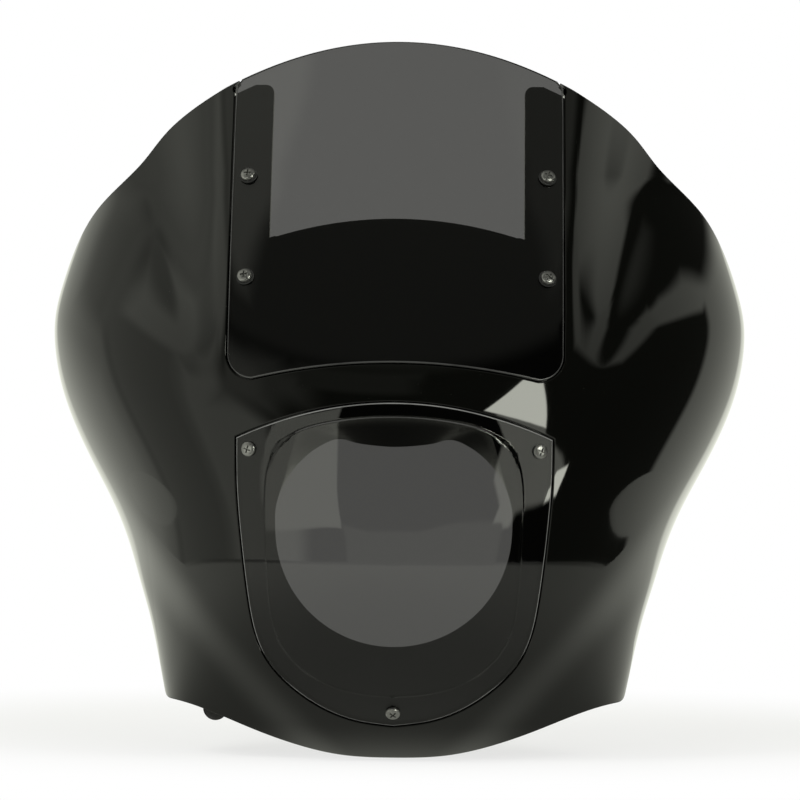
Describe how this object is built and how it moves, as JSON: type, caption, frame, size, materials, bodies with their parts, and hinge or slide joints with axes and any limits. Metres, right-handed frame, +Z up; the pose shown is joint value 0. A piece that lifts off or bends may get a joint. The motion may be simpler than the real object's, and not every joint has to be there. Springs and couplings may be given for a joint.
{
  "type": "headlight cowl",
  "caption": "Moulded headlight cowl that clamps to a motorcycle fork, with a smoked windshield insert, a smoked lens cover over the lamp opening and lined inner clamps.",
  "frame": {"origin": "on the centre plane under the middle of the depth, level with the chin's lowest edge", "axes": "+Z up as mounted, front faces -Y, +X to the right of someone who looks at the front"},
  "size_m": [0.4314, 0.2349, 0.435],
  "materials": {
    "skin": "high gloss, moulded",
    "smoked_screen": "clear gloss, smoke tinted",
    "smoked_cover": "clear gloss, smoke tinted",
    "dark_screw": "black oxide",
    "seal_rubber": "satin",
    "zinc": "zinc plated",
    "bracket": "satin black",
    "liner_rubber": "matte"
  },
  "bodies": {
    "root": {"cowl_shell": "skin", "windshield": "smoked_screen", "headlight_lens": "smoked_cover", "windshield_screws": "dark_screw", "windshield_washers": "seal_rubber", "windshield_backing_washers": "zinc", "windshield_nuts": "zinc", "lens_screws": "dark_screw", "lens_nuts": "zinc", "left_bracket": "bracket", "right_bracket": "bracket", "bracket_screws": "zinc", "left_lower_clamp": "bracket", "left_upper_clamp": "bracket", "right_lower_clamp": "bracket", "right_upper_clamp": "bracket", "left_lower_liner": "liner_rubber", "left_upper_liner": "liner_rubber", "right_lower_liner": "liner_rubber", "right_upper_liner": "liner_rubber", "clamp_bolts": "zinc", "clamp_nuts": "zinc"}
  },
  "joints": []
}
